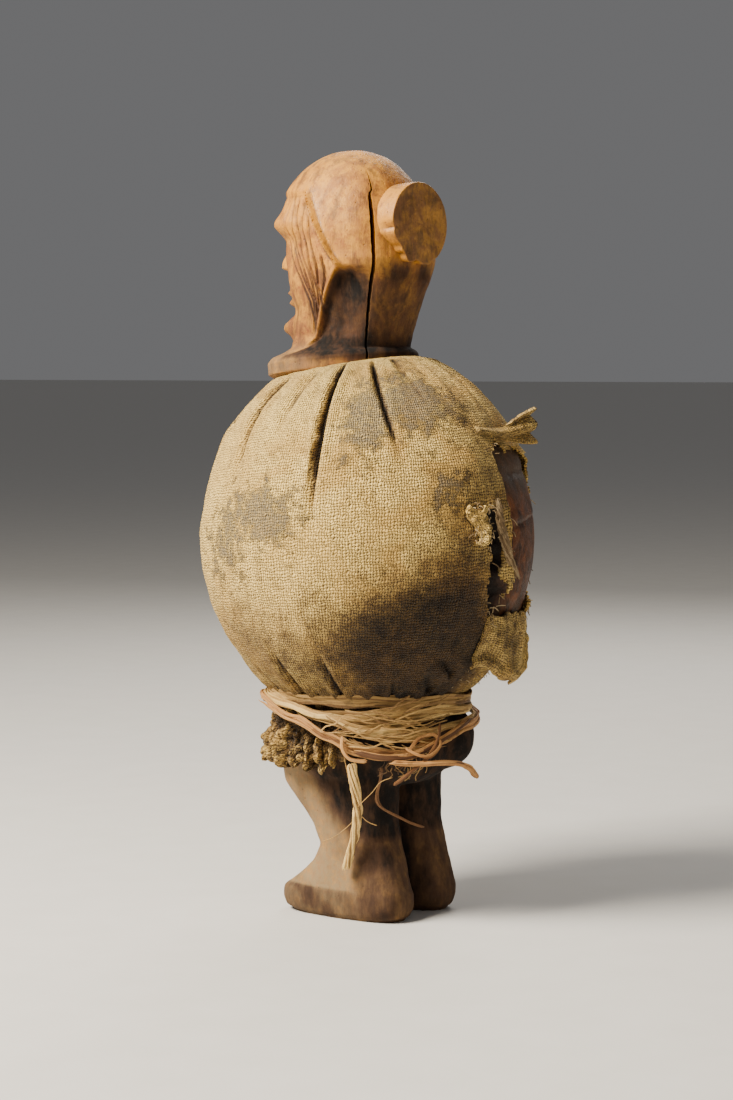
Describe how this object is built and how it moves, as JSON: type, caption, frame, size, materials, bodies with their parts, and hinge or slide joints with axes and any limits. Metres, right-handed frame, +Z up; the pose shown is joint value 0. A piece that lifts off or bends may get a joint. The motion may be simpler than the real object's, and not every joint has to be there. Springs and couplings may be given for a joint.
{
  "type": "fertility doll",
  "caption": "Carved wooden standing figure with a cloth-wrapped charge bundle round its torso, gathered at the neck and tied at the waist with raffia.",
  "frame": {"origin": "on the ground between the feet, at the bottom centre of the bounding box", "axes": "+Z up, soles on Z = 0; the figure faces -Y; its left side is +X"},
  "size_m": [0.114, 0.1137, 0.258],
  "materials": {
    "carved_wood": "hand-polished dark wood with wear",
    "packed_earth": "packed dark organic matter, matt",
    "hide": "smooth dried hide, slightly glossy",
    "cloth": "coarse plain-weave cotton, stained",
    "fibre_cord": "twisted plant fibre",
    "raffia_tan": "dry raffia",
    "raffia_orange": "dry raffia, red-brown",
    "raffia_gold": "dry raffia, golden",
    "raffia_dark": "dry raffia, dark"
  },
  "bodies": {
    "root": {"carved_figure": "carved_wood", "charge_packing": "packed_earth", "hide_wrap": "hide", "cloth_wrap": "cloth", "neck_cord": "fibre_cord", "raffia_turn_top": "raffia_tan", "raffia_turn_second": "raffia_tan", "raffia_turn_crossing": "raffia_tan", "raffia_turn_low": "raffia_orange", "raffia_knot": "raffia_orange", "raffia_long_end": "raffia_orange", "raffia_tassel": "raffia_gold", "raffia_side_strand": "raffia_dark"}
  },
  "joints": []
}
